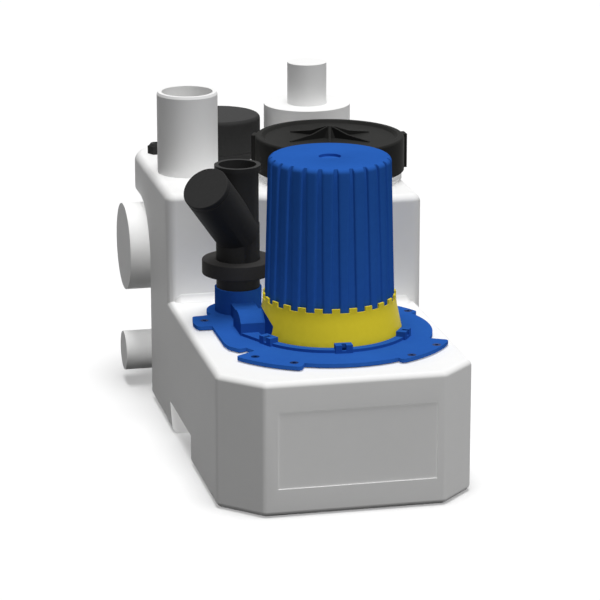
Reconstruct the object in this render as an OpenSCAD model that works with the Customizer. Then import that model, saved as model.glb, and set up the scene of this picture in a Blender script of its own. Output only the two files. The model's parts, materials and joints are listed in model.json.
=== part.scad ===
// Sewage lifting station: a hollow plastic tank with a low pump block in front and a high block behind.
// The origin is the point on the floor under the pump's axis. X runs to the right, Y to the back, Z up.

/* [Tank] */
// Width of the tank
tank_w = 302; // [290:1:330]
// Depth of the tank from front face to back face
tank_l = 640; // [630:1:680]
// Height of the low front block
front_h = 159; // [150:1:170]
// Height of the high rear block
rear_h = 293; // [285:1:320]
// Wall thickness of the tank
tank_wall = 6; // [4:0.5:8]
// Size of the bevel on the front left corner
front_bevel = 46; // [30:1:60]
// Size of the bevel on the front right corner
front_bevel_right = 41; // [30:1:60]
// Distance that the front block's right side lies inside the rear block's
front_inset_right = 5; // [0:1:8]
// Depth at which the rear block starts on the left side
step_left = 347; // [343:1:354]
// Depth at which the rear block starts on the right side
step_right = 285; // [278:1:290]
// Radius of the fillet where the rear block stands on the front block
step_fillet = 11; // [6:1:14]
// Edge radius of the front block
front_edge = 9; // [6:1:12]
// Edge radius of the rear block
rear_edge = 12; // [8:1:16]
// Radius of the round rear left corner of the tank, seen from above
rear_corner = 70; // [50:1:75]
// Radius of the rear right corner of the tank, seen from above
rear_right_corner = 40; // [20:1:60]
// Depth of the bare shallow panel on the front face
panel_depth = 1.2; // [0.5:0.1:2]
// Width of the bare panel
panel_w = 184; // [160:1:190]
// Height of the bare panel
panel_h = 91; // [70:1:95]

/* [Underside tunnel and corner recess] */
// Depth at which the tunnel under the tank starts
tunnel_y = 202; // [190:1:210]
// Length of the tunnel on the floor
tunnel_l = 117; // [100:1:125]
// Height of the tunnel
tunnel_h = 36; // [25:1:40]
// Lean of the tunnel's rear wall
tunnel_lean = 19; // [0:1:25]
// Depth at which the rear left recess starts
recess_y = 467; // [462:1:470]
// Height of the recess's ceiling
recess_h = 248; // [244:1:254]
// Radius of the recess's fillet under its ceiling
recess_fillet = 70; // [50:1:75]
// Width of the recess
recess_w = 61; // [56:1:62]

/* [Pipe sockets] */
// Outer diameter of the main inlet
inlet_d = 110; // [100:1:114]
// Height of the main inlet's axis above the floor
inlet_z = 180; // [174:1:183]
// Depth of both inlets' axes
inlet_y = 543; // [538:1:548]
// Reach of the main inlet past the left side of the tank
inlet_reach = 21; // [10:1:40]
// Outer diameter of the low inlet
low_inlet_d = 50; // [40:1:56]
// Height of the low inlet's axis above the floor
low_inlet_z = 42; // [36:1:48]
// Outer diameter of the vent pipe
vent_d = 75; // [63:1:80]
// Height of the vent pipe's rim
vent_top = 394; // [370:1:410]
// Wall thickness of all pipe sockets
pipe_wall = 6; // [4:0.5:8]
// Outer diameter of the large step of the rear socket
stub_d = 110; // [100:1:114]
// Height of the large step's top
stub_shoulder = 352; // [340:1:365]
// Outer diameter of the small step of the rear socket
stub_small_d = 50; // [40:1:56]
// Height of the small step's top
stub_top = 405; // [390:1:420]

/* [Inspection lid] */
// Height of the lid's lower edge above the tank
lid_gap = 11; // [8:1:16]
// Height of the lid's skirt
lid_h = 42; // [38:1:46]
// Outer diameter of the neck that the lid screws on
neck_d = 165; // [160:1:170]
// Wall thickness of the lid
lid_wall = 4; // [3:0.5:5]
// Room for the thread between the neck and the lid's skirt
thread_room = 5; // [4:0.5:6]
// Number of ribs in the star on the lid
star_ribs = 6; // [4:1:8]

/* [Level sensor and gland] */
// Outer diameter of the sensor housing
sensor_d = 110; // [100:1:114]
// Height of the sensor housing above its base
sensor_h = 43; // [35:1:50]
// Diameter of the float
float_d = 46; // [36:1:50]
// Height of the float
float_h = 40; // [30:1:50]
// Diameter of the cable gland's nut
gland_d = 22; // [18:1:24]

/* [Pump flange] */
// Thickness of the flange plate
plate_t = 4.5; // [4:0.5:6]
// Radius of the plate's round edge
plate_r = 120.5; // [118:0.5:124]
// Radius of the plate's front edge between the two lobes
front_edge_r = 136; // [130:1:140]
// Radius of the wide front left lobe
left_lobe_r = 151; // [147:1:152]
// Radius of the wide front right lobe
right_lobe_r = 144; // [143:1:147]
// Radius of the screw circle
screw_circle_r = 137; // [134:0.5:139]
// Inner radius of the raised ring on the plate
rim_r = 85; // [84:0.5:86]
// Width of the raised ring
rim_w = 9.5; // [8:0.5:11]
// Height of the raised ring
rim_h = 3.5; // [2:0.5:4]
// Number of slotted bosses on the raised ring
bosses = 6; // [4:1:8]
// Outer diameter of the outlet nozzle
nozzle_d = 56; // [52:1:60]
// Height of the nozzle's top above the plate
nozzle_h = 29; // [26:1:34]
// Half width of the round duct
duct_r = 22; // [18:1:24]
// Thread diameter of the screws
screw_d = 6; // [5:1:6]

/* [Motor] */
// Radius of the motor housing over its ribs at the foot
motor_r = 76.6; // [75:0.1:77]
// Draft of the motor housing, radius lost from foot to shoulder
motor_draft = 5.3; // [3:0.1:6]
// Height of the motor housing
motor_h = 208.5; // [200:0.5:230]
// Number of ribs around the motor
ribs = 24; // [20:1:28]
// Depth of the grooves between the ribs
groove_depth = 2.4; // [2:0.1:4]
// Width of the grooves at the yellow ring
groove_w = 10.4; // [8:0.1:11]
// Width of the grooves at the motor's shoulder
groove_top_w = 4.4; // [3:0.1:6]
// Height of the yellow ring above the plate
ring_h = 41.5; // [38:0.5:48]
// Diameter of the shaft in its bearings
shaft_d = 20; // [18:0.5:22]

/* [Pump] */
// Outer diameter of the impeller
impeller_d = 104; // [96:1:106]
// Number of impeller blades
blades = 5; // [3:1:7]
// Height of the space that the impeller turns in
volute_h = 32; // [28:1:36]
// Height of the suction mouth above the tunnel's roof inside the tank
suction_rise = 8; // [4:1:16]

/* [Check valve] */
// Outer diameter of the coupling collar
collar_d = 86; // [80:1:88]
// Height of the coupling collar
collar_h = 17.5; // [15:0.5:20]
// Outer diameter of the outlet pipe
outlet_d = 50; // [46:1:50]
// Inner diameter of the outlet pipe
outlet_bore = 45; // [40:0.5:45]
// Height of the outlet pipe's rim above the floor
outlet_top = 343; // [330:1:350]
// Outer diameter of the ball chamber
chamber_d = 56; // [54:1:58]
// Length of the ball chamber along its own axis
chamber_l = 96; // [92:1:104]
// Diameter of the valve ball
ball_d = 40; // [38:0.5:40]
// Depth of the socket in the outlet pipe
socket_l = 40; // [30:1:45]

/* [Clearances] */
// Gap between parts that are fitted by hand
loose = 0.3; // [0.3:0.1:0.5]
// Radial gap of running fits
running = 0.05; // [0.03:0.01:0.08]
// Thickness of flat seals
seal_t = 1.5; // [1:0.5:2]

/* [Hidden] */
$fn = 96;

// Where the pump's axis stands in the tank, from the tank's middle and from its front face
pump_x = 9;
pump_y = 170;
cut = 1;
edge_steps = 16;
inner_edge = 2;

// Tank
half_w = tank_w / 2;
step_turn_left = -85;
step_turn_right = 75;
panel_x = 3;
panel_z = 33;
recess_x = recess_w - half_w;
inlet_face = half_w + inlet_reach;
low_inlet_face = inlet_face + 2;
cap_wall = 5;
stub_at = [69.5, 556];
vent_bevel = 3;
vent_spigot_wall = 3;
pump_hole_r = 104;

// Lid and sensor, placed from the tank's middle and front face
lid_at = [61.7, 395];
rear_l = tank_l - step_left;
sensor_share = 0.692833;
gland_share = 0.757679;
sensor_at = [-48, step_left + sensor_share * rear_l];
gland_at = [-124, step_left + gland_share * rear_l];
vent_lead = 88;
vent_at = [-103, sensor_at[1] - vent_lead];
lid_d = neck_d + 2 * (lid_wall + thread_room);
lid_z = rear_h + lid_gap;
lid_top = lid_z + lid_h;
neck_wall = 6;
neck_flange_d = neck_d + 12;
neck_flange_h = 4;
dish_depth = 3;
neck_top = lid_top - dish_depth - lid_wall - seal_t - 2 * loose;
star_thick = 3;
star_hub_r = 6;
star_hub_h = 14;
star_turn = 77;
star_margin = 36;
lug_angles = [0, 80, 160, 250];
lug_reach = 4.5;
lug_w = 16;
lug_drop = 2;
sensor_base_h = 8;
sensor_wall = 3;
rod_d = 10;
rod_bottom = 40;
float_hole_d = float_d + 24;
stop_d = 26;
stop_h = 6;
gland_h = 13;
gland_thread_d = 12;

// Pump flange
plate_z = front_h + seal_t;
plate_top = plate_z + plate_t;
nozzle_at = [-86.5, 107.8];
nozzle_pad_r = 38;
ear_round = 5;
gasket_inset = 3;
wall_gap = 1;
nozzle_bore_r = nozzle_d / 2 - 5;
nozzle_top = plate_top + nozzle_h;
duct_y = 19;
duct_end = -106;
duct_wall_h = 14.5;
duct_gap = 0.5;
ledge = [[-84, -45], [-105.6, -2], [-84, -2]];
duct_rise = 10;
passage_r = 7;
passage_z = plate_top + 5;
link_w = 28;
link_h = 15;
port_at = [-86.5, duct_y];
port_r = 9.5;
screw_angles = [-141, -120, -60, -39];
tab_at = [-135, 70];
tab_outline = [[-13, -24], [-15, -7], [-11, 19], [3, 20]];
left_side = [[-118, -54], [-128, -40], [-130.5, -25], [-130.5, 45]];
right_tab_at = [110, 57];
right_tab_r = 131;
rear_screw_at = [-10.3, 117.6];
screw_hole_d = screw_d + 2 * loose;
head_d = 2 * screw_d - 2;
head_h = 3;
head_recess_d = 4.5;
head_recess = 2;
boss_turn = -93;
boss_w = 20;
boss_deep = 11.6;
boss_inset = 0.4;
boss_h = 6;
boss_slot = 5;
boss_screw_d = 4;
boss_thread = 4;
boss_screw_r = rim_r + rim_w / 2 + 2.5;

// Motor and drive
motor_foot_z = plate_top;
motor_top = motor_foot_z + motor_h;
motor_edge = 6;
motor_wall = 5;
motor_bore_r = motor_r - motor_draft - groove_depth - motor_wall;
bore_top = motor_top - 10;
plug_d = 26;
plug_deep = 5;
groove_z = ring_h - 8;
ring_teeth_h = 5;
ring_seat_r = motor_r + 0.2;
ring_foot_r = rim_r - 2 * loose;
ring_top_r = ring_seat_r + 0.8;
arch_y = 6;
arch_half_w = 40;
arch_side_h = 18;
arch_h = 30;
shaft_r = shaft_d / 2;
shaft_room = 3;
hub_r = 34;
hub_top = motor_foot_z + 42;
bearing_d = 47;
bearing_h = 14;
seal_d = 36;
seal_h = 12;
shaft_top = bore_top - 4;
rotor_r = 28;
rotor_z = motor_foot_z + 62;
rotor_l = 80;
air_gap = 0.5;
stator_r = motor_bore_r - loose;

// Volute below the plate
volute_wall = 4;
volute_top = plate_z;
impeller_r = impeller_d / 2;
impeller_gap = 3;
volute_grow = 14;
volute_z = volute_top - volute_h;
impeller_h = volute_h - 2 * impeller_gap - 4;
impeller_z = volute_z + impeller_gap;
suction_r = 26;
suction_z = tunnel_h + tank_wall + suction_rise;
suction_wall = 4;
cover_t = 5;
tongue_turn = 170;
cover_screw_d = 2.5;
cover_thread = 10;
screw_nose = 2;
impeller_screw_d = 26;
impeller_disc_t = 4;
impeller_hub_wall = 6;
blade_t = 4;

// Check valve
valve_at = nozzle_at;
collar_z = nozzle_top + 17;
valve_neck_d = nozzle_d - 4;
seat_z = collar_z + collar_h + 19.2;
seat_r = 16;
outlet_r = outlet_d / 2;
rim_bead = 2.5;
rim_bead_h = 5;
chamber_turn = 225;
chamber_tilt = 45;
chamber_start = seat_z + sqrt(pow(ball_d / 2, 2) - pow(seat_r, 2)) + loose;
chamber_bore_r = ball_d / 2 + 3;
chamber_bore_from = 5.5;
way_r = ball_d / 2 + 1;
cap_t = 8;

// Moves a piece that is given from the tank's middle and front face to its place about the pump's axis
module in_tank() {
    translate([-pump_x, -pump_y, 0]) children();
}

// Points of an arc around a centre, for outlines
function arc(centre, r, from, to, steps = 8) =
    [for (i = [0 : steps]) let (a = from + (to - from) * i / steps) centre + r * [cos(a), sin(a)]];

// Plan of the low front block: a box with two bevelled front corners
module front_plan() {
    right = half_w - front_inset_right;
    polygon([[-half_w, tank_l / 2 + front_bevel], [-half_w, front_bevel], [front_bevel - half_w, 0],
        [right - front_bevel_right, 0], [right, front_bevel_right], [right, tank_l / 2 + front_bevel]]);
}

// Plan of the high rear block, whose front wall steps forward on the right
module rear_plan() {
    polygon(concat([[-half_w, step_left], [step_turn_left, step_left], [step_turn_right, step_right],
        [half_w, step_right]],
        arc([half_w - rear_right_corner, tank_l - rear_right_corner], rear_right_corner, 0, 90, 5),
        arc([rear_corner - half_w, tank_l - rear_corner], rear_corner, 90, 180, 7)));
}

// A block over a plan with all its outer edges rounded, drawn smaller by inset
module round_block(bottom, top, edge, inset = 0) {
    minkowski() {
        translate([0, 0, bottom + edge]) linear_extrude(top - bottom - 2 * edge)
            offset(delta = -inset - edge) children();
        sphere(edge, $fn = edge_steps);
    }
}

// The tank's solid form, drawn smaller by inset for the hollow inside
module tank_form(inset) {
    round_block(inset, front_h - inset, max(front_edge - inset, inner_edge), inset) front_plan();
    round_block(inset, rear_h - inset, max(rear_edge - inset, inner_edge), inset) rear_plan();
}

// A bar along X with a profile given in the YZ plane
module bar_along_x(x_from, x_to) {
    translate([x_from, 0, 0]) rotate([90, 0, 90]) linear_extrude(x_to - x_from) children();
}

// The tunnel under the tank, drawn larger by grow
module tunnel(grow) {
    bar_along_x(-half_w - cut, half_w + cut)
        polygon([[tunnel_y - grow, -cut], [tunnel_y + tunnel_l + grow, -cut],
            [tunnel_y + tunnel_l + tunnel_lean + grow, tunnel_h + grow], [tunnel_y - grow, tunnel_h + grow]]);
}

// The recess in the rear left corner that the inlets come out of, drawn larger by grow
module recess(grow) {
    radius = recess_fillet + grow;
    fillet_at = [recess_y + recess_fillet, recess_h - recess_fillet];
    bar_along_x(-half_w - cut, recess_x + grow)
        polygon(concat([[recess_y - grow, -cut], [tank_l + cut, -cut], [tank_l + cut, recess_h + grow]],
            arc(fillet_at, radius, 90, 180, 10)));
}

module tank() {
    color("whitesmoke") in_tank() difference() {
        union() {
            difference() {
                tank_form(0);
                tunnel(0);
                recess(0);
            }
            translate([recess_x, inlet_y, inlet_z]) rotate([0, -90, 0])
                cylinder(d = inlet_d, h = inlet_face + recess_x);
            translate([recess_x, inlet_y, low_inlet_z]) rotate([0, -90, 0])
                cylinder(d = low_inlet_d, h = low_inlet_face + recess_x);
            translate([stub_at[0], stub_at[1], rear_h - cut]) {
                cylinder(d = stub_d, h = stub_shoulder - rear_h + cut);
                cylinder(d = stub_small_d, h = stub_top - rear_h + cut);
            }
        }
        difference() {
            tank_form(tank_wall);
            tunnel(tank_wall);
            recess(tank_wall);
        }
        translate([recess_x + 2 * tank_wall, inlet_y, inlet_z]) rotate([0, -90, 0])
            cylinder(d = inlet_d - 2 * pipe_wall, h = inlet_face + recess_x + 2 * tank_wall - cap_wall);
        translate([recess_x + 2 * tank_wall, inlet_y, low_inlet_z]) rotate([0, -90, 0])
            cylinder(d = low_inlet_d - 2 * pipe_wall, h = low_inlet_face + recess_x + 2 * tank_wall - cap_wall);
        translate([vent_at[0], vent_at[1], rear_h - 2 * tank_wall])
            cylinder(d = vent_d - 2 * vent_spigot_wall, h = 4 * tank_wall);
        translate([stub_at[0], stub_at[1], rear_h - 2 * tank_wall]) {
            cylinder(d = stub_d - 2 * pipe_wall, h = stub_shoulder - rear_h + 2 * tank_wall - cap_wall);
            cylinder(d = stub_small_d - 2 * pipe_wall, h = stub_top - rear_h + 2 * tank_wall - cap_wall);
        }
        translate([lid_at[0], lid_at[1], rear_h - 2 * tank_wall])
            cylinder(d = neck_d, h = 4 * tank_wall);
        translate([sensor_at[0], sensor_at[1], rear_h - 2 * tank_wall])
            cylinder(d = float_hole_d, h = 4 * tank_wall);
        translate([gland_at[0], gland_at[1], rear_h - 2 * tank_wall])
            cylinder(d = gland_thread_d + 2 * loose, h = 4 * tank_wall);
        translate([pump_x, pump_y, front_h - 2 * tank_wall]) {
            cylinder(r = pump_hole_r, h = 4 * tank_wall);
            screw_places() cylinder(d = screw_hole_d, h = 4 * tank_wall);
        }
        translate([panel_x - panel_w / 2, -cut, panel_z]) cube([panel_w, cut + panel_depth, panel_h]);
    }
}

// The vent pipe, welded into a hole in the tank's top with a thinner end
module vent_pipe() {
    color("whitesmoke") in_tank() translate([vent_at[0], vent_at[1], rear_h]) difference() {
        union() {
            translate([0, 0, -tank_wall]) cylinder(d = vent_d - 2 * vent_spigot_wall, h = tank_wall + cut);
            cylinder(d = vent_d, h = vent_top - vent_bevel - rear_h);
            translate([0, 0, vent_top - vent_bevel - rear_h])
                cylinder(d1 = vent_d, d2 = vent_d - vent_bevel, h = vent_bevel);
        }
        translate([0, 0, -tank_wall - cut])
            cylinder(d = vent_d - 2 * pipe_wall, h = vent_top - rear_h + tank_wall + 2 * cut);
    }
}

// Every place of a screw that holds the flange plate on the tank
module screw_places() {
    for (a = screw_angles) rotate([0, 0, a]) translate([screw_circle_r, 0, 0]) children();
    for (p = [tab_at, right_tab_at, rear_screw_at]) translate([p[0], p[1], 0]) children();
}

module neck_ring() {
    color("whitesmoke") in_tank() translate([lid_at[0], lid_at[1], 0])
        rotate_extrude() {
            bore = neck_d / 2 - neck_wall;
            translate([bore, rear_h - tank_wall]) square([neck_wall - loose, neck_top - rear_h + tank_wall]);
            translate([bore, rear_h]) square([neck_flange_d / 2 - bore, neck_flange_h]);
        }
}

module lid_gasket() {
    color("#1c1c1c") in_tank() translate([lid_at[0], lid_at[1], neck_top + loose])
        rotate_extrude() translate([neck_d / 2 - neck_wall, 0]) square([neck_wall, seal_t]);
}

// One rib of the star, falling from the hub to the rim
module star_rib() {
    reach = lid_d / 2 - star_margin;
    translate([0, star_thick / 2, 0]) rotate([90, 0, 0]) linear_extrude(star_thick)
        polygon([[0, -dish_depth], [reach, -dish_depth], [reach, -dish_depth + 1],
            [reach * 0.45, 3], [star_hub_r, star_hub_h - 4], [0, star_hub_h - 4]]);
}

module inspection_lid() {
    outer = lid_d / 2;
    color("#2b2b2b") in_tank() translate([lid_at[0], lid_at[1], lid_top]) {
        rotate_extrude() polygon(concat(
            [[0, -dish_depth], [outer - 12, -dish_depth], [outer - 8, 0]],
            arc([outer - 3, -3], 3, 90, 0, 4),
            [[outer, -lid_h], [outer - lid_wall, -lid_h], [outer - lid_wall, -dish_depth - lid_wall],
            [0, -dish_depth - lid_wall]]));
        for (a = lug_angles) rotate([0, 0, a]) translate([outer - lid_wall, -lug_w / 2, -lid_h - lug_drop])
            cube([lug_reach + lid_wall, lug_w, lid_h]);
        for (i = [0 : star_ribs - 1]) rotate([0, 0, star_turn + i * 360 / star_ribs]) star_rib();
        translate([0, 0, -dish_depth]) cylinder(r1 = star_hub_r + 3, r2 = star_hub_r - 3, h = star_hub_h);
    }
}

module sensor_base() {
    color("#262626") in_tank() translate([sensor_at[0], sensor_at[1], rear_h]) difference() {
        cylinder(d = sensor_d, h = sensor_base_h);
        translate([0, 0, -cut]) cylinder(d = rod_d + 2 * running, h = sensor_base_h + 2 * cut);
    }
}

module sensor_housing() {
    r = sensor_d / 2 - 1;
    round_r = 5;
    color("#262626") in_tank() translate([sensor_at[0], sensor_at[1], rear_h + sensor_base_h]) rotate_extrude()
        polygon(concat([[0, sensor_h - sensor_wall], [r - sensor_wall, sensor_h - sensor_wall],
            [r - sensor_wall, 0], [r, 0]], arc([r - round_r, sensor_h - round_r], round_r, 0, 90, 5),
            [[0, sensor_h]]));
}

module float_rod() {
    color("silver") in_tank() translate([sensor_at[0], sensor_at[1], rod_bottom])
        cylinder(d = rod_d, h = rear_h + sensor_base_h + 10 - rod_bottom);
}

module level_float() {
    color("gainsboro") in_tank() translate([sensor_at[0], sensor_at[1], rod_bottom + stop_h + loose]) difference() {
        rotate_extrude() polygon(concat([[0, 0]], arc([float_d / 2 - 8, 8], 8, -90, 0, 4),
            arc([float_d / 2 - 8, float_h - 8], 8, 0, 90, 4), [[0, float_h]]));
        translate([0, 0, -cut]) cylinder(d = rod_d + 4 * loose, h = float_h + 2 * cut);
    }
}

module float_stop() {
    color("#262626") in_tank() translate([sensor_at[0], sensor_at[1], rod_bottom]) difference() {
        cylinder(d = stop_d, h = stop_h);
        translate([0, 0, -cut]) cylinder(d = rod_d, h = stop_h + 2 * cut);
    }
}

module gland_body() {
    color("#262626") in_tank() translate([gland_at[0], gland_at[1], rear_h]) difference() {
        union() {
            cylinder(d = gland_d, h = 4, $fn = 6);
            translate([0, 0, -tank_wall - 2]) cylinder(d = gland_thread_d, h = tank_wall + 2 + gland_h - 5);
        }
        translate([0, 0, -tank_wall - 2 - cut]) cylinder(d = gland_thread_d - 5, h = tank_wall + 4 + gland_h);
    }
}

module gland_nut() {
    color("#262626") in_tank() translate([gland_at[0], gland_at[1], rear_h + 4]) difference() {
        union() {
            cylinder(d = gland_d, h = gland_h - 7, $fn = 6);
            translate([0, 0, gland_h - 7]) cylinder(d1 = gland_d - 4, d2 = gland_d - 8, h = 3);
        }
        translate([0, 0, -cut]) cylinder(d = gland_thread_d + 2 * running, h = gland_h - 7);
        translate([0, 0, -cut]) cylinder(d = gland_thread_d - 5, h = gland_h + 2 * cut);
    }
}

module sector(r, from, to) {
    polygon(concat([[0, 0]], arc([0, 0], r, from, to, 10)));
}

// Ground that the rear block takes up on the front block, drawn larger towards the front by grow
module step_zone(grow) {
    polygon([[-half_w, step_left - grow], [step_turn_left, step_left - grow],
        [step_turn_right, step_right - grow], [half_w, step_right - grow], [half_w, tank_l], [-half_w, tank_l]]);
}

// Outline of the flange plate with its lobes, ears and the pad under the nozzle, drawn smaller by inset
module plate_outline(inset = 0) {
    difference() {
        circle(plate_r - inset);
        in_tank() step_zone(step_fillet + wall_gap + inset);
    }
    translate(nozzle_at) circle(nozzle_pad_r - inset);
    offset(r = ear_round - inset, $fn = 24) offset(delta = -ear_round) {
        sector(left_lobe_r, -148, -115);
        sector(front_edge_r, -120, -60);
        sector(right_lobe_r, -68, -29);
        sector(right_tab_r, 23, 41);
        polygon(concat(left_side, [for (corner = tab_outline) tab_at + corner], [nozzle_at, [0, 0]]));
    }
}

module flange_gasket() {
    color("#1c1c1c") translate([0, 0, front_h]) difference() {
        linear_extrude(seal_t) plate_outline(gasket_inset);
        translate([0, 0, -cut]) {
            cylinder(r = pump_hole_r, h = seal_t + 2 * cut);
            screw_places() cylinder(d = screw_hole_d, h = seal_t + 2 * cut);
        }
    }
}

// A small boss with an upright slot, standing on the raised ring
module slotted_boss() {
    translate([rim_r + boss_inset, -boss_w / 2, -cut]) cube([boss_deep, boss_w, rim_h + boss_h + cut]);
}

// The round-topped duct that leads from the pump to the link behind it
module duct() {
    crown_r = (pow(duct_r, 2) + pow(duct_rise, 2)) / (2 * duct_rise);
    translate([duct_end, duct_y, 0]) intersection() {
        translate([0, 0, duct_wall_h + duct_rise - crown_r]) rotate([0, 90, 0])
            cylinder(r = crown_r, h = -duct_end - rim_r / 2);
        translate([0, -duct_r, 0]) cube([-duct_end, 2 * duct_r, duct_wall_h + duct_rise]);
    }
}

module pump_flange() {
    color("royalblue") translate([0, 0, plate_top]) difference() {
        union() {
            translate([0, 0, -plate_t]) linear_extrude(plate_t) plate_outline();
            difference() {
                union() {
                    cylinder(r = rim_r + rim_w, h = rim_h);
                    linear_extrude(rim_h) polygon(ledge);
                }
                translate([0, 0, -cut]) cylinder(r = rim_r, h = rim_h + 2 * cut);
            }
            for (i = [0 : bosses - 1]) rotate([0, 0, boss_turn + i * 360 / bosses]) slotted_boss();
            translate([nozzle_at[0], nozzle_at[1], 0]) cylinder(d = nozzle_d, h = nozzle_h);
            duct();
            translate([nozzle_at[0] - link_w / 2, duct_y, 0]) cube([link_w, nozzle_at[1] - duct_y, link_h]);
            cylinder(r = hub_r, h = hub_top - plate_top);
            translate([0, 0, -plate_t]) cylinder(r = hub_r, h = plate_t);
        }
        difference() {
            cylinder(r = motor_r + duct_gap, h = duct_wall_h + duct_rise + cut);
            cylinder(r = hub_r, h = duct_wall_h + duct_rise + cut);
        }
        for (i = [0 : bosses - 1]) rotate([0, 0, boss_turn + i * 360 / bosses])
            translate([boss_screw_r - boss_slot / 2 - 0.5, -boss_slot / 2, rim_h - 0.5])
                    cube([boss_deep + 4, boss_slot, boss_h + cut]);
        translate([0, 0, -plate_t - cut]) {
            screw_places() cylinder(d = screw_hole_d, h = plate_t + 2 * cut);
            translate([0, 0, plate_t - head_h + cut]) screw_places()
                cylinder(d = head_d + 2 * running, h = head_h + cut);
            boss_places() cylinder(d = boss_screw_d + 2 * running, h = plate_t + rim_h + 2 * cut);
            cylinder(r = shaft_r + shaft_room, h = hub_top - plate_z + 2 * cut);
        }
        translate([0, 0, hub_top - plate_top - bearing_h]) cylinder(d = bearing_d, h = bearing_h + cut);
        translate([0, 0, -plate_t - cut]) cylinder(d = seal_d, h = seal_h + cut);
        translate([nozzle_at[0], nozzle_at[1], 0]) cylinder(r = nozzle_bore_r, h = nozzle_h + cut);
        translate([port_at[0], port_at[1], passage_z - plate_top]) rotate([-90, 0, 0])
            cylinder(r = passage_r, h = nozzle_at[1] - port_at[1]);
        translate([port_at[0], port_at[1], -plate_t - cut]) cylinder(r = port_r, h = plate_t + cut + 8);
    }
}

module flange_screws() {
    color("#20407e") screw_places() translate([0, 0, plate_top]) difference() {
        union() {
            translate([0, 0, -head_h]) cylinder(d = head_d, h = head_h);
            translate([0, 0, -plate_t - seal_t - tank_wall - screw_nose])
                cylinder(d = screw_d, h = plate_t + seal_t + tank_wall + screw_nose - cut);
        }
        translate([0, 0, -head_recess]) cylinder(d = head_recess_d, h = head_recess + cut, $fn = 6);
    }
}

// Every place of a screw that holds the volute's rim under the raised ring
module boss_places() {
    for (i = [0 : bosses - 1]) rotate([0, 0, boss_turn + i * 360 / bosses])
        translate([boss_screw_r, 0, 0]) children();
}

module boss_screws() {
    color("#20407e") boss_places() translate([0, 0, plate_z - boss_thread]) {
        cylinder(d = boss_screw_d, h = plate_t + rim_h + boss_thread);
        translate([0, 0, plate_t + rim_h - 0.5 + boss_thread]) cylinder(d = boss_slot - 0.4, h = 3);
    }
}

module motor_housing() {
    slope = motor_draft / (motor_h - motor_edge);
    foot_r = motor_r;
    shoulder_r = motor_r - motor_draft;
    color("royalblue") translate([0, 0, motor_foot_z]) difference() {
        rotate_extrude() polygon(concat([[motor_bore_r, 0], [foot_r, 0]],
            arc([shoulder_r - motor_edge, motor_h - motor_edge], motor_edge, 0, 90, 6),
            [[plug_d / 2, motor_h], [plug_d / 2, motor_h - plug_deep], [shaft_r, motor_h - plug_deep],
            [shaft_r, bore_top - motor_foot_z], [motor_bore_r, bore_top - motor_foot_z]]));
        for (i = [0 : ribs - 1]) rotate([0, 0, (i + 0.5) * 360 / ribs])
            translate([foot_r - groove_depth, 0, groove_z]) rotate([0, -atan(slope), 0])
                rotate([90, 0, 90]) linear_extrude(groove_depth * 3)
                polygon([[-groove_w / 2, 0], [groove_w / 2, 0], [groove_top_w / 2, motor_h - groove_z],
                    [-groove_top_w / 2, motor_h - groove_z]]);
    }
}

module motor_plug() {
    color("#20407e") translate([0, 0, motor_top - plug_deep])
        cylinder(d = plug_d - 0.4, h = plug_deep - 2);
}

// The arched opening in the ring's left side, which the round duct passes through
module duct_arch() {
    rise = arch_h - arch_side_h;
    crown_r = (pow(arch_half_w, 2) + pow(rise, 2)) / (2 * rise);
    translate([-rim_r - cut, arch_y, 0]) intersection() {
        translate([0, 0, arch_h - crown_r]) rotate([0, 90, 0]) cylinder(r = crown_r, h = rim_r / 2);
        translate([0, -arch_half_w, -cut]) cube([rim_r / 2, 2 * arch_half_w, arch_h + cut]);
    }
}

module motor_ring() {
    tooth_w = groove_w - 4 * loose;
    color("gold") translate([0, 0, motor_foot_z]) {
        difference() {
            rotate_extrude() polygon([[ring_seat_r, 0], [ring_foot_r, 0], [ring_foot_r, 5],
                [ring_foot_r - 3, 19], [ring_top_r + 1, ring_h - 9], [ring_top_r, ring_h], [ring_seat_r, ring_h]]);
            duct_arch();
        }
        for (i = [0 : ribs - 1]) rotate([0, 0, (i + 0.5) * 360 / ribs])
            translate([ring_seat_r - 1.6, -tooth_w / 2, ring_h - 4])
                cube([ring_top_r - ring_seat_r + 1.6, tooth_w, ring_teeth_h + 4]);
    }
}

module tube(outer_r, inner_r, h) {
    difference() {
        cylinder(r = outer_r, h = h);
        translate([0, 0, -cut]) cylinder(r = inner_r, h = h + 2 * cut);
    }
}

module stator() {
    color("dimgray") translate([0, 0, rotor_z - 4]) tube(stator_r, rotor_r + air_gap, rotor_l + 8);
}

module rotor() {
    color("silver") translate([0, 0, rotor_z]) tube(rotor_r, shaft_r, rotor_l);
}

module shaft() {
    color("silver") translate([0, 0, impeller_z]) cylinder(r = shaft_r, h = shaft_top - impeller_z);
}

module upper_bearing() {
    color("silver") translate([0, 0, bore_top - bearing_h]) tube(stator_r, shaft_r + running, bearing_h);
}

module lower_bearing() {
    color("silver") translate([0, 0, hub_top - bearing_h]) tube(bearing_d / 2, shaft_r + running, bearing_h);
}

module shaft_seal() {
    color("#1c1c1c") translate([0, 0, plate_z]) tube(seal_d / 2, shaft_r + running, seal_h - plate_t);
}

module impeller() {
    bend = impeller_r / 2;
    color("dimgray") translate([0, 0, impeller_z]) difference() {
        union() {
            translate([0, 0, impeller_h - impeller_disc_t]) cylinder(r = impeller_r, h = impeller_disc_t);
            cylinder(r = shaft_r + impeller_hub_wall, h = impeller_h);
            for (i = [0 : blades - 1]) rotate([0, 0, i * 360 / blades])
                linear_extrude(impeller_h - impeller_disc_t / 2)
                polygon(concat(arc([0, bend], bend, -70, 60, 10), arc([0, bend], bend - blade_t, 60, -70, 10)));
        }
        translate([0, 0, -cut]) cylinder(r = shaft_r, h = impeller_h + 2 * cut);
    }
}

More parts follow.
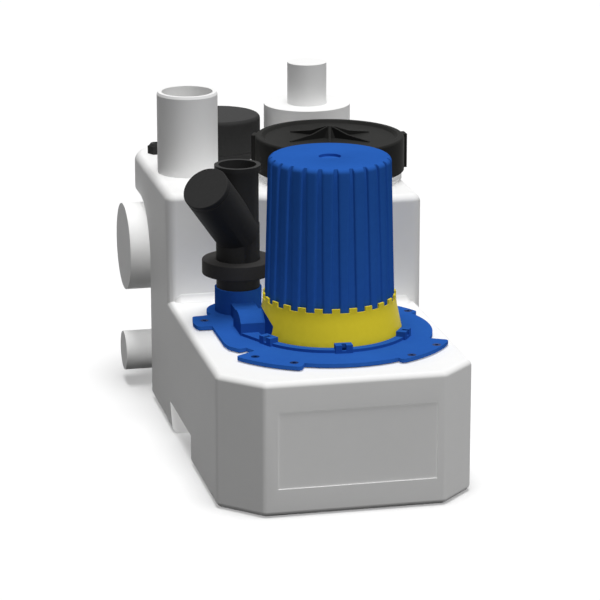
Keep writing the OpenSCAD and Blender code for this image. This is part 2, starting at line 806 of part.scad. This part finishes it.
module impeller_screw() {
    color("silver") translate([0, 0, impeller_z - impeller_gap]) cylinder(d = impeller_screw_d, h = impeller_gap, $fn = 6);
}

// Inner radius of the spiral wall, growing once around from the tongue to the outlet
function spiral(a) = impeller_r + impeller_gap + volute_grow * a / 360;

// Plan of the spiral space, drawn larger by extra
module spiral_plan(extra) {
    offset(delta = extra)
        polygon([for (i = [0 : 60]) let (a = i * 6) spiral(a) * [cos(a - tongue_turn), sin(a - tongue_turn)]]);
}

module volute() {
    color("dimgray") translate([0, 0, volute_z]) difference() {
        union() {
            linear_extrude(volute_h) spiral_plan(volute_wall);
            translate([port_at[0], port_at[1], 0]) cylinder(r = port_r + volute_wall, h = volute_h);
            translate([0, 0, volute_h - 5]) cylinder(r = pump_hole_r - 1, h = 5);
        }
        translate([0, 0, -cut]) linear_extrude(volute_h - 3) spiral_plan(0);
        translate([port_at[0], port_at[1], volute_wall]) cylinder(r = port_r, h = volute_h);
        translate([port_at[0], port_at[1] - port_r, volute_wall]) cube([30, 2 * port_r, volute_h - 12]);
        cylinder(d = seal_d, h = volute_h + cut);
        translate([0, 0, volute_h - boss_thread - cut]) boss_places() cylinder(d = boss_screw_d, h = boss_thread + 2 * cut);
        translate([0, 0, -cut]) cover_screw_places() cylinder(d = cover_screw_d, h = cover_thread + cut);
    }
}

// Every place of a screw that holds the suction cover on the volute's spiral wall
module cover_screw_places() {
    for (a = [40 : 64 : 300]) rotate([0, 0, a - tongue_turn]) translate([spiral(a) + volute_wall / 2, 0, 0]) children();
}

module cover_screws() {
    color("silver") cover_screw_places() translate([0, 0, volute_z - cover_t]) {
        translate([0, 0, -cover_screw_d]) cylinder(d = 2 * cover_screw_d, h = cover_screw_d, $fn = 6);
        cylinder(d = cover_screw_d, h = cover_t + cover_thread - 1);
    }
}

module suction_cover() {
    color("dimgray") translate([0, 0, volute_z - cover_t]) difference() {
        union() {
            linear_extrude(cover_t) spiral_plan(volute_wall);
            translate([0, 0, suction_z - volute_z + cover_t]) cylinder(r = suction_r + suction_wall,
                h = volute_z - suction_z);
        }
        translate([0, 0, suction_z - volute_z]) cylinder(r = suction_r, h = volute_z);
        translate([0, 0, -cut]) cover_screw_places() cylinder(d = cover_screw_d, h = cover_t + 2 * cut);
    }
}

module at_valve(z) {
    translate([valve_at[0], valve_at[1], z]) children();
}

module along_chamber() {
    at_valve(chamber_start) rotate([0, 0, chamber_turn]) rotate([0, chamber_tilt, 0]) children();
}

module nozzle_seal() {
    color("#1c1c1c") at_valve(nozzle_top) tube(valve_neck_d / 2, nozzle_bore_r, seal_t);
}

module valve_body() {
    bottom = nozzle_top + seal_t;
    color("#262626") difference() {
        union() {
            at_valve(bottom) cylinder(d = valve_neck_d, h = seat_z - bottom + 24);
            at_valve(bottom) cylinder(r = outlet_r, h = outlet_top - bottom);
            at_valve(outlet_top - rim_bead_h) cylinder(r = outlet_r + rim_bead, h = rim_bead_h);
            along_chamber() cylinder(d = chamber_d, h = chamber_l - cap_t);
        }
        at_valve(bottom - cut) cylinder(r = seat_r, h = seat_z - bottom + 2);
        at_valve(seat_z) cylinder(r = way_r, h = outlet_top - seat_z);
        at_valve(outlet_top - socket_l) cylinder(d = outlet_bore, h = socket_l + cut);
        along_chamber() translate([0, 0, chamber_bore_from]) cylinder(r = chamber_bore_r, h = chamber_l);
    }
}

module coupling_collar() {
    color("#202020") at_valve(collar_z) tube(collar_d / 2, valve_neck_d / 2, collar_h);
}

module valve_ball() {
    color("dimgray") at_valve(chamber_start) sphere(d = ball_d);
}

module cap_seal() {
    color("#1c1c1c") along_chamber() translate([0, 0, chamber_l - cap_t])
        tube(chamber_d / 2 - 0.5, chamber_bore_r, seal_t);
}

module chamber_cap() {
    color("#333333") along_chamber() translate([0, 0, chamber_l - cap_t + seal_t])
        cylinder(d = chamber_d, h = cap_t - seal_t);
}

tank();
vent_pipe();
neck_ring();
lid_gasket();
inspection_lid();
sensor_base();
sensor_housing();
float_rod();
level_float();
float_stop();
gland_body();
gland_nut();
flange_gasket();
pump_flange();
flange_screws();
boss_screws();
motor_housing();
motor_plug();
motor_ring();
stator();
rotor();
shaft();
upper_bearing();
lower_bearing();
shaft_seal();
impeller();
impeller_screw();
volute();
cover_screws();
suction_cover();
nozzle_seal();
valve_body();
coupling_collar();
valve_ball();
chamber_cap();
cap_seal();
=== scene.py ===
"""The looks of a sewage lifting station: its finishes, ribs, cove and broken edges, around the CAD frame."""
import json
import math

import bmesh
import bpy
from mathutils import Matrix, Vector


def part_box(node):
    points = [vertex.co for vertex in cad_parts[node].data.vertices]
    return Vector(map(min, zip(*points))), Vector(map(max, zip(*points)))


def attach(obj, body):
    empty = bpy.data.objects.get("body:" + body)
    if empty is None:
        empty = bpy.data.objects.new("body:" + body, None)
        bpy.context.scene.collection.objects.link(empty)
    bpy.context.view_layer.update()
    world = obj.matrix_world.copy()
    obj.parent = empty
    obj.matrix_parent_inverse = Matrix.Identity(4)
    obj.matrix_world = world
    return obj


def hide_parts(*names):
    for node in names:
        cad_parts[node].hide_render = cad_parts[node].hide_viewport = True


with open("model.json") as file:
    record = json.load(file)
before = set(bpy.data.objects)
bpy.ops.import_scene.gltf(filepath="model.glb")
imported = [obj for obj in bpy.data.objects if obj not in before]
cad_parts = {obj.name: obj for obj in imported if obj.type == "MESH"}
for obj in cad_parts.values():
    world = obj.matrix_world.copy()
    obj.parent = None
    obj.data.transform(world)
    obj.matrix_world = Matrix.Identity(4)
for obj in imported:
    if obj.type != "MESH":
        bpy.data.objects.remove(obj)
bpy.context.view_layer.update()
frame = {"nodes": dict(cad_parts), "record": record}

MM = 0.001

# Camera, at the photograph's viewing angle
CAMERA_AT = Vector((-0.7697, -3.2717, 1.1585))
CAMERA_BACK = Vector((-0.2107, -0.9384, 0.2740))
CAMERA_RIGHT = Vector((0.9757, -0.2191, 0.0))
LENS = 180
SENSOR = 36
FAR = 100

# Lights: the way towards each, its strength in shares of full daylight, and whether it casts shadows
OVERHEAD = ((0.0, -0.05, 1.0), 0.67, True)
FROM_RIGHT = ((0.5, -0.45, 0.75), 0.37, False)
FROM_LEFT = ((-0.4, -0.6, 0.7), 0.15, False)
LAMP_SPREAD = 30
AMBIENT = 0.03

# Floor: how far it reaches, the colour that it shows, and the one that it throws back on the object
FLOOR_REACH = 12.0
FLOOR_SHOWN = (0.95, 0.95, 0.95, 1)
FLOOR_THROWN = (0.10, 0.10, 0.10, 1)

# The three patterns that all finishes are made of, each with its detail and its seed
PATCHES = (3.0, 0.0)
GRAIN = (2.0, 7.0)
SPECKLES = (4.0, 3.0)

# How they are mixed: the weights of the first and the second in each mix, where the two tones start to mix
# and how sharply, how far patches and grain move the roughness, a speckle's size in grains, and the relief
FIRST = 0.6
SECOND = 0.4
TONES_FROM = 0.3
CONTRAST = 2.2
ROUGH_PATCHES = 0.12
ROUGH_GRAIN = 0.08
SPECKLE_SIZE = 5
RELIEF = 0.6

# Motor housing: its ribs, its draft, and its grooves, which widen downwards and notch the shoulder
RIBS = 24
MOTOR_DRAFT = 5.3 * MM
SHOULDER = 6 * MM
GROOVE_FOOT = 10.4 * MM
GROOVE_TOP = 4.4 * MM
GROOVE_DEPTH = 2.4 * MM
GROOVE_NOTCH = 2.4 * MM
NOTCH_RISE = 20
BEHIND_RING = 12.5 * MM
RUN_IN = 3 * MM

# The housing's mesh: rows up its side and round its shoulder, columns from a groove's middle outwards in
# shares of half a pitch, the shares where a groove's floor and its wall end, the wall's width in shares, and
# the angle in degrees from which an edge is sharp
SIDE_ROWS = 60
SHOULDER_ROWS = 10
COLUMNS = (0, 0.25, 0.42, 0.46, 0.5, 0.54, 0.58, 0.78)
RIB_MIDDLE = 0.999
FLOOR_ENDS = 0.5
WALL_ENDS = 0.58
WALL_WIDTH = 0.16
SHARP = 55

# The housing's inside: its play around plug and stator, and the recess's broken edge
PLUG_PLAY = 0.2 * MM
STATOR_PLAY = 0.3 * MM
RECESS_EDGE_OUT = 1.0 * MM
RECESS_EDGE_DOWN = 0.6 * MM

# Plug in the motor's top: how much of its height shows, its broken edge, its columns, the hole that the
# turned profile leaves at its middle, and the distance that closes that hole
PLUG_SKIN = 1.4 * MM
PLUG_EDGE = 0.4 * MM
PLUG_COLUMNS = 48
PLUG_HOLE = 0.1 * MM
PLUG_MERGE = 0.3 * MM

# Cove at the foot of the rear block's front wall: its radius, how far its back and foot sink into the tank,
# its height above the ground, and the wall's line, with the share of the radius that it has at each point
COVE = 9 * MM
COVE_SINK = 1.5 * MM
COVE_STEPS = 8
WALL_FOOT_AT = 159 * MM
WALL_LINE = [(x * MM, y * MM, share) for x, y, share in (
    (-151, 177, 0.25), (-143, 177, 1), (-94, 177, 1), (66, 115, 1), (122, 115, 1), (129, 115, 0.25))]

# Broken edges: the width on each node, the steps, and the angle in degrees from which an edge is broken
EDGES = {"tank": 2.0 * MM, "neck_ring": 0.5 * MM, "inspection_lid": 0.8 * MM, "sensor_base": 0.6 * MM,
         "sensor_housing": 0.6 * MM, "gland_body": 0.4 * MM, "gland_nut": 0.4 * MM, "pump_flange": 0.7 * MM,
         "motor_ring": 0.7 * MM, "valve_body": 0.8 * MM, "coupling_collar": 1.2 * MM, "chamber_cap": 1.0 * MM,
         "flange_screws": 0.4 * MM, "boss_screws": 0.3 * MM}
EDGE_STEPS = 2
TANK_EDGE_STEPS = 3
EDGE_ANGLE = 32

# A CAD node's mesh: vertices closer than this are one, and faces within this angle in degrees are one
SAME_SPOT = 0.002 * MM
FLAT_ANGLE = 0.5

BODY_OF = {node: body for body, nodes in frame["record"]["behaviour"]["bodies"].items() for node in nodes}
SLOT_OF = {part["node"]: part["material_slot"] for part in frame["record"]["subparts"]}


class Value:
    """The output of a node. Plain arithmetic on it adds Math nodes to its tree."""

    def __init__(self, graph, socket):
        self.graph = graph
        self.socket = socket

    def maths(self, operation, *operands):
        return self.graph.add("ShaderNodeMath", {"operation": operation}, operands)

    def __add__(self, other):
        return self.maths("ADD", self, other)

    def __sub__(self, other):
        return self.maths("SUBTRACT", self, other)

    def __rsub__(self, other):
        return self.maths("SUBTRACT", other, self)

    def __mul__(self, other):
        return self.maths("MULTIPLY", self, other)

    def __truediv__(self, other):
        return self.maths("DIVIDE", self, other)

    def __rtruediv__(self, other):
        return self.maths("DIVIDE", other, self)

    def __pow__(self, other):
        return self.maths("POWER", self, other)

    def above(self, other):
        return self.maths("MAXIMUM", self, other)

    def below(self, other):
        return self.maths("MINIMUM", self, other)

    __radd__ = __add__
    __rmul__ = __mul__


class Graph:
    """A node tree that is being built."""

    def __init__(self, tree):
        self.tree = tree
        tree.nodes.clear()

    def add(self, kind, settings=None, values=(), out=0):
        """Adds a node with its settings, and with values or links for its sockets, by number or by name."""
        node = self.tree.nodes.new(kind)
        for name, value in (settings or {}).items():
            setattr(node, name, value)
        pairs = values.items() if isinstance(values, dict) else enumerate(values)
        for key, value in pairs:
            if isinstance(value, Value):
                self.tree.links.new(value.socket, node.inputs[key])
            else:
                node.inputs[key].default_value = value
        return Value(self, node.outputs[out]) if len(node.outputs) else None


def screen(red, green, blue):
    """A colour as a screen shows it, from 0 to 255, as the linear values that a shader takes."""
    def linear(share):
        return share / 12.92 if share <= 0.04045 else ((share + 0.055) / 1.055) ** 2.4
    return (linear(red / 255), linear(green / 255), linear(blue / 255), 1.0)


def cloud(graph, place, size, detail, seed):
    """Soft noise from 0 to 1, whose patches are about size metres wide."""
    return graph.add("ShaderNodeTexNoise", {"noise_dimensions": "4D"},
                     {"Vector": place, "W": seed, "Scale": 1 / size, "Detail": detail})


def blend(graph, share, one, other):
    """A colour between two colours."""
    return graph.add("ShaderNodeMix", {"data_type": "RGBA"}, {0: share, 6: one, 7: other}, out=2)


def finish(name, light, dark, rough, width, depth, specular=0.3, metal=0.0, patch=70 * MM, brushed=None):
    """A material: two tones in soft patches, a grained surface, and a roughness that varies with both.

    Width and depth are those of the surface's grain, in metres, and patch is the width of a patch. Brushed
    is the way that fine lines run, as a stretch of the pattern along X, Y and Z.
    """
    material = bpy.data.materials.new(name)
    material.use_nodes = True
    graph = Graph(material.node_tree)
    place = graph.add("ShaderNodeTexCoord", out="Object")
    if brushed:
        place = graph.add("ShaderNodeMapping", {}, {"Vector": place, "Scale": brushed})
    patches = cloud(graph, place, patch, *PATCHES)
    grain = cloud(graph, place, width, *GRAIN)
    speckles = cloud(graph, place, width * SPECKLE_SIZE, *SPECKLES)
    share = (patches * FIRST + speckles * SECOND - TONES_FROM) * CONTRAST
    tint = blend(graph, share.above(0.0).below(1.0), dark, light)
    height = grain * FIRST + speckles * SECOND
    bump = graph.add("ShaderNodeBump", {}, {"Height": height, "Distance": depth, "Strength": RELIEF})
    shader = graph.add("ShaderNodeBsdfPrincipled", {}, {
        "Base Color": tint,
        "Roughness": rough + (patches - 0.5) * ROUGH_PATCHES + (grain - 0.5) * ROUGH_GRAIN,
        "Metallic": metal, "Specular IOR Level": specular, "Normal": bump})
    graph.add("ShaderNodeOutputMaterial", {}, {"Surface": shader})
    return material


# Each finish: its light and its dark tone, its roughness, the width and depth of its grain, and, where they
# aren't the usual ones, its specular level, its metalness, the width of a patch and the way it is brushed
LOOKS = {
    "tank_plastic": ((0.91, 0.91, 0.905, 1), (0.885, 0.885, 0.88, 1), 0.5, 2.2 * MM, 0.10 * MM, 0.08),
    "black_plastic": (screen(55, 55, 55), screen(49, 49, 49), 0.5, 0.7 * MM, 0.04 * MM, 0.02),
    "lid_plastic": (screen(42, 42, 41), screen(36, 36, 35), 0.52, 0.8 * MM, 0.05 * MM, 0.01),
    "float_plastic": (screen(205, 206, 204), screen(190, 191, 189), 0.45, 1.0 * MM, 0.04 * MM),
    "seal_rubber": (screen(32, 32, 32), screen(25, 25, 25), 0.75, 0.6 * MM, 0.05 * MM, 0.2),
    "collar_rubber": (screen(64, 63, 62), screen(57, 56, 56), 0.62, 0.8 * MM, 0.05 * MM, 0.03),
    "blue_casting": (screen(42, 94, 178), screen(38, 87, 168), 0.45, 1.4 * MM, 0.06 * MM, 0.0),
    "blue_housing": (screen(43, 97, 184), screen(39, 90, 174), 0.45, 1.1 * MM, 0.05 * MM, 0.0),
    "yellow_plastic": (screen(246, 225, 58), screen(238, 216, 50), 0.45, 0.9 * MM, 0.04 * MM, 0.06),
    "screw_steel": (screen(16, 46, 100), screen(12, 38, 86), 0.35, 0.4 * MM, 0.02 * MM, 0.05),
    "steel": ((0.62, 0.62, 0.63, 1), (0.5, 0.5, 0.51, 1), 0.3, 0.3 * MM, 0.01 * MM, 0.5, 1.0, 30 * MM,
              (1, 1, 20)),
    "iron": ((0.12, 0.12, 0.125, 1), (0.07, 0.07, 0.072, 1), 0.65, 1.6 * MM, 0.15 * MM, 0.4, 0.6),
}
FINISHES = {name: finish(name, *look) for name, look in LOOKS.items()}


def finish_cad_nodes():
    """Gives each CAD node its slot's material, in place of the plain one that it comes with."""
    for name, node in frame["nodes"].items():
        node.data.materials.clear()
        node.data.materials.append(FINISHES[SLOT_OF[name]])


def add_piece(name, mesh, node, replaced=True):
    """Adds a mesh as a piece that rides, and takes its finish, as a CAD node does, and may stand for it."""
    mesh.materials.clear()
    mesh.materials.append(FINISHES[SLOT_OF[node]])
    piece = bpy.data.objects.new(name, mesh)
    bpy.context.scene.collection.objects.link(piece)
    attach(piece, BODY_OF[node])
    if replaced:
        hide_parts(node)


def held(name, mesh):
    """An object that holds a mesh while modifiers work on it."""
    holder = bpy.data.objects.new(name, mesh)
    bpy.context.scene.collection.objects.link(holder)
    return holder


def result_of(holder):
    """The plain mesh that comes out of an object's modifiers. The object and its modifiers go."""
    bpy.context.view_layer.update()
    mesh = bpy.data.meshes.new_from_object(holder.evaluated_get(bpy.context.evaluated_depsgraph_get()))
    holder.modifiers.clear()
    bpy.data.objects.remove(holder)
    return mesh


def facing_out(mesh, merge=0.0):
    """The mesh with its faces turned outwards, after vertices closer than merge have become one."""
    bm = bmesh.new()
    bm.from_mesh(mesh)
    if merge:
        bmesh.ops.remove_doubles(bm, verts=bm.verts, dist=merge)
    bmesh.ops.recalc_face_normals(bm, faces=bm.faces)
    bm.to_mesh(mesh)
    bm.free()
    return mesh


def grow(name, mesh, build, sizes, slot):
    """The plain mesh that comes out when a mesh runs through a Geometry Nodes tree with named sizes."""
    tree = bpy.data.node_groups.new(name, "GeometryNodeTree")
    tree.interface.new_socket("Geometry", in_out="INPUT", socket_type="NodeSocketGeometry")
    for size in sizes:
        tree.interface.new_socket(size, in_out="INPUT", socket_type="NodeSocketFloat")
    tree.interface.new_socket("Geometry", in_out="OUTPUT", socket_type="NodeSocketGeometry")
    graph = Graph(tree)
    given = tree.nodes.new("NodeGroupInput")
    result = build(graph, {socket.name: Value(graph, socket) for socket in given.outputs if socket.name})
    result = graph.add("GeometryNodeRealizeInstances", {}, {"Geometry": result})
    result = graph.add("GeometryNodeSetMaterial", {}, {"Geometry": result, "Material": FINISHES[slot]})
    graph.add("NodeGroupOutput", {}, {0: result})
    growing = held(name, mesh)
    modifier = growing.modifiers.new("grow", "NODES")
    modifier.node_group = tree
    for socket in tree.interface.items_tree:
        if socket.name in sizes:
            modifier[socket.identifier] = sizes[socket.name]
    return result_of(growing)


def quarter_turn(steps):
    """Angles from 0 to 90 degrees, as radians."""
    return [math.pi / 2 * i / steps for i in range(steps + 1)]


def turned(profile, angles):
    """A mesh turned about the Z axis from a closed profile of radius and height, a column at each angle."""
    rows = len(profile)
    points = [(r * math.cos(a), r * math.sin(a), z) for a in angles for r, z in profile]
    faces = []
    for i in range(len(angles)):
        here, there = i * rows, (i + 1) % len(angles) * rows
        for j in range(rows):
            k = (j + 1) % rows
            faces.append((here + j, there + j, there + k, here + k))
    mesh = bpy.data.meshes.new("turned")
    mesh.from_pydata(points, [], faces)
    mesh.shade_smooth()
    return mesh


def grooved(graph, given):
    """Presses tapering grooves into a turned form: columns slide to a groove's sides or sink to its floor."""
    place = graph.add("GeometryNodeInputPosition")
    x, y, z = (graph.add("ShaderNodeSeparateXYZ", {}, {0: place}, out=axis) for axis in range(3))
    radius = (x * x + y * y) ** 0.5
    angle = y.maths("ARCTAN2", y, x)
    pitch = 2 * math.pi / given["Ribs"]
    turns = angle / pitch
    rib = turns.maths("FLOOR", turns)
    phase = (turns - rib) * 2 - 1
    aside = phase.maths("ABSOLUTE", phase)
    side = phase.maths("SIGN", phase)
    up = ((z - given["Groove Bottom"]) / (given["Top"] - given["Groove Bottom"])).above(0).below(1)
    half = (given["Foot Width"] + (given["Top Width"] - given["Foot Width"]) * up) / radius / 2
    floor_part = aside.below(FLOOR_ENDS) * 2 * half
    rib_part = (aside - FLOOR_ENDS).above(0) * 2 * (pitch / 2 - half)
    new_angle = (rib + 0.5) * pitch + side * (floor_part + rib_part)
    sunk = ((WALL_ENDS - aside) / WALL_WIDTH).above(0).below(1)
    sunk = sunk * sunk * (3 - 2 * sunk)
    begun = ((z - given["Groove Bottom"]) / given["Run In"]).above(0).below(1)
    notch = given["Notch"] * up ** given["Notch Rise"]
    floor_r = given["Foot Radius"] - given["Depth"] - notch - given["Slope"] * (z - given["Foot"])
    new_radius = radius - (radius - floor_r).above(0) * sunk * begun
    outside = radius.maths("GREATER_THAN", radius, floor_r - 2 * given["Depth"])
    new_x = new_radius * new_angle.maths("COSINE", new_angle)
    new_y = new_radius * new_angle.maths("SINE", new_angle)
    new_place = graph.add("ShaderNodeCombineXYZ", {}, [new_x, new_y, z])
    return graph.add("GeometryNodeSetPosition", {}, {
        "Geometry": given["Geometry"], "Selection": outside, "Position": new_place})


def housing_profile(foot, top, foot_r, slope):
    """The motor housing in section: drafted side, shoulder, recess for the plug, shaft's hole and bore."""
    plug_low, plug_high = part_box("motor_plug")
    plug_r = plug_high.x + PLUG_PLAY
    shaft_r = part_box("shaft")[1].x
    bore_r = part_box("stator")[1].x + STATOR_PLAY
    bore_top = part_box("upper_bearing")[1].z
    straight = top - foot - SHOULDER
    side = [(foot_r - slope * straight * i / SIDE_ROWS, foot + straight * i / SIDE_ROWS)
            for i in range(SIDE_ROWS)]
    turn_r, turn_z = foot_r - MOTOR_DRAFT - SHOULDER, top - SHOULDER
    shoulder = [(turn_r + SHOULDER * math.cos(a), turn_z + SHOULDER * math.sin(a))
                for a in quarter_turn(SHOULDER_ROWS)]
    recess = [(plug_r + RECESS_EDGE_OUT, top), (plug_r, top - RECESS_EDGE_DOWN), (plug_r, plug_low.z)]
    inside = [(shaft_r, plug_low.z), (shaft_r, bore_top), (bore_r, bore_top)]
    return [(bore_r, foot)] + side + shoulder + recess + inside


def add_motor_housing():
    """The motor's tall housing: a drafted shell with a round shoulder and a groove between each two ribs."""
    low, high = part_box("motor_housing")
    foot, top, foot_r = low.z, high.z, high.x
    slope = MOTOR_DRAFT / (top - foot - SHOULDER)
    pitch = 2 * math.pi / RIBS
    phases = sorted({-share for share in COLUMNS} | set(COLUMNS) | {RIB_MIDDLE})
    angles = [(rib + (phase + 1) / 2) * pitch for rib in range(RIBS) for phase in phases]
    ring_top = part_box("motor_ring")[1].z
    mesh = grow("ribbed_housing", turned(housing_profile(foot, top, foot_r, slope), angles), grooved, {
        "Ribs": RIBS, "Foot Width": GROOVE_FOOT, "Top Width": GROOVE_TOP, "Depth": GROOVE_DEPTH,
        "Foot Radius": foot_r, "Slope": slope, "Foot": foot, "Top": top,
        "Groove Bottom": ring_top - BEHIND_RING, "Run In": RUN_IN,
        "Notch": GROOVE_NOTCH, "Notch Rise": NOTCH_RISE}, SLOT_OF["motor_housing"])
    mesh.set_sharp_from_angle(angle=math.radians(SHARP))
    add_piece("motor_housing_skin", mesh, "motor_housing")


def add_motor_plug():
    """The plug in the motor's top: its face lies low, so that the recess around it looks dark."""
    low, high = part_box("motor_plug")
    top = low.z + PLUG_SKIN
    profile = [(PLUG_HOLE, low.z), (high.x, low.z), (high.x, top - PLUG_EDGE), (high.x - PLUG_EDGE, top),
               (PLUG_HOLE, top)]
    angles = [2 * math.pi * i / PLUG_COLUMNS for i in range(PLUG_COLUMNS)]
    mesh = facing_out(turned(profile, angles), PLUG_MERGE)
    for face in mesh.polygons:
        face.use_smooth = False
    add_piece("motor_plug_skin", mesh, "motor_plug")


def add_wall_foot():
    """The soft cove where the rear block's front wall stands on the front block, one closed strip."""
    cove = [(COVE - COVE * math.sin(a), COVE - COVE * math.cos(a)) for a in quarter_turn(COVE_STEPS)]
    profile = [(-COVE_SINK, -COVE_SINK), (COVE, -COVE_SINK)] + cove + [(-COVE_SINK, COVE)]
    spots = [Vector((x, y)) for x, y, share in WALL_LINE]
    points = []
    for spot, (x, y, share) in zip(spots, WALL_LINE):
        ways = [(b - a).normalized() for a, b in zip(spots, spots[1:]) if spot in (a, b)]
        way = sum(ways, Vector((0, 0))).normalized()
        out = Vector((way.y, -way.x)) / way.dot(ways[0])
        points += [(x + out.x * r * share, y + out.y * r * share, WALL_FOOT_AT + z * share)
                   for r, z in profile]
    rows = len(profile)
    faces = [(i * rows + j, (i + 1) * rows + j, (i + 1) * rows + (j + 1) % rows, i * rows + (j + 1) % rows)
             for i in range(len(spots) - 1) for j in range(rows)]
    faces += [tuple(range(rows)), tuple(reversed(range(len(points) - rows, len(points))))]
    mesh = bpy.data.meshes.new("wall_foot")
    mesh.from_pydata(points, [], faces)
    facing_out(mesh)
    for face in mesh.polygons:
        face.use_smooth = len(face.vertices) == 4
    add_piece("wall_foot", mesh, "tank", False)


def whole_mesh(node):
    """A CAD node's mesh as one skin: its loose triangles are merged, and flat regions become single faces."""
    bm = bmesh.new()
    bm.from_mesh(frame["nodes"][node].data)
    bmesh.ops.remove_doubles(bm, verts=bm.verts, dist=SAME_SPOT)
    bmesh.ops.dissolve_limit(bm, angle_limit=math.radians(FLAT_ANGLE), verts=bm.verts, edges=bm.edges)
    mesh = bpy.data.meshes.new(node + "_skin")
    bm.to_mesh(mesh)
    bm.free()
    return mesh


def dress(node, width, steps):
    """Shows a CAD node with its sharp edges broken, and smooth shading that keeps its flat faces flat."""
    mesh = whole_mesh(node)
    for face in mesh.polygons:
        face.use_smooth = True
    dressing = held("dressing", mesh)
    bevel = dressing.modifiers.new("bevel", "BEVEL")
    bevel.width = width
    bevel.segments = steps
    bevel.limit_method = "ANGLE"
    bevel.angle_limit = math.radians(EDGE_ANGLE)
    bevel.use_clamp_overlap = True
    normals = dressing.modifiers.new("normals", "WEIGHTED_NORMAL")
    normals.keep_sharp = True
    add_piece(node + "_skin", result_of(dressing), node)


def add_camera():
    """The camera, where it shows the object as the photograph does."""
    data = bpy.data.cameras.new("camera")
    data.lens = LENS
    data.sensor_width = SENSOR
    data.clip_end = FAR
    camera = bpy.data.objects.new("camera", data)
    bpy.context.scene.collection.objects.link(camera)
    up = CAMERA_BACK.cross(CAMERA_RIGHT)
    turn = Matrix((CAMERA_RIGHT, up, CAMERA_BACK)).transposed()
    camera.matrix_world = Matrix.Translation(CAMERA_AT) @ turn.to_4x4()
    bpy.context.scene.camera = camera


def add_lamp(name, toward, strength, shadows):
    """A far, soft lamp. At a strength of 1 it makes a white face that it stands square to just white."""
    data = bpy.data.lights.new(name, "SUN")
    data.energy = strength * math.pi
    data.angle = math.radians(LAMP_SPREAD)
    data.use_shadow = shadows
    lamp = bpy.data.objects.new(name, data)
    lamp.rotation_euler = Vector(toward).to_track_quat("Z", "Y").to_euler()
    bpy.context.scene.collection.objects.link(lamp)


def seen_ray(graph):
    """1 for a ray from the camera, or one that a glossy or clear surface sends on, and 0 for other rays."""
    def ray(kind):
        return graph.add("ShaderNodeLightPath", out=kind)
    return ray("Is Camera Ray").above(ray("Is Glossy Ray")).above(ray("Is Transmission Ray"))


def add_world():
    """A surround that looks white, and lights the object only a little."""
    world = bpy.data.worlds.new("world")
    bpy.context.scene.world = world
    world.use_nodes = True
    graph = Graph(world.node_tree)
    level = AMBIENT + seen_ray(graph) * (1 - AMBIENT)
    shader = graph.add("ShaderNodeBackground", {}, {"Color": (1, 1, 1, 1), "Strength": level})
    graph.add("ShaderNodeOutputWorld", {}, {"Surface": shader})


def add_floor():
    """A white floor that shows soft shadows, and throws little light back on the object's underside."""
    mesh = bpy.data.meshes.new("floor")
    mesh.from_pydata([(-FLOOR_REACH, -FLOOR_REACH, 0), (FLOOR_REACH, -FLOOR_REACH, 0),
                      (FLOOR_REACH, FLOOR_REACH, 0), (-FLOOR_REACH, FLOOR_REACH, 0)], [], [(0, 1, 2, 3)])
    material = bpy.data.materials.new("floor_white")
    material.use_nodes = True
    graph = Graph(material.node_tree)
    tint = blend(graph, seen_ray(graph), FLOOR_THROWN, FLOOR_SHOWN)
    shader = graph.add("ShaderNodeBsdfDiffuse", {}, {"Color": tint})
    graph.add("ShaderNodeOutputMaterial", {}, {"Surface": shader})
    mesh.materials.append(material)
    floor = bpy.data.objects.new("floor", mesh)
    bpy.context.scene.collection.objects.link(floor)


bpy.context.scene.view_settings.view_transform = "Standard"
add_camera()
add_lamp("overhead", *OVERHEAD)
add_lamp("from_right", *FROM_RIGHT)
add_lamp("from_left", *FROM_LEFT)
add_world()
add_floor()
finish_cad_nodes()

add_motor_housing()
add_motor_plug()
add_wall_foot()
for node_name, edge in EDGES.items():
    dress(node_name, edge, TANK_EDGE_STEPS if node_name == "tank" else EDGE_STEPS)
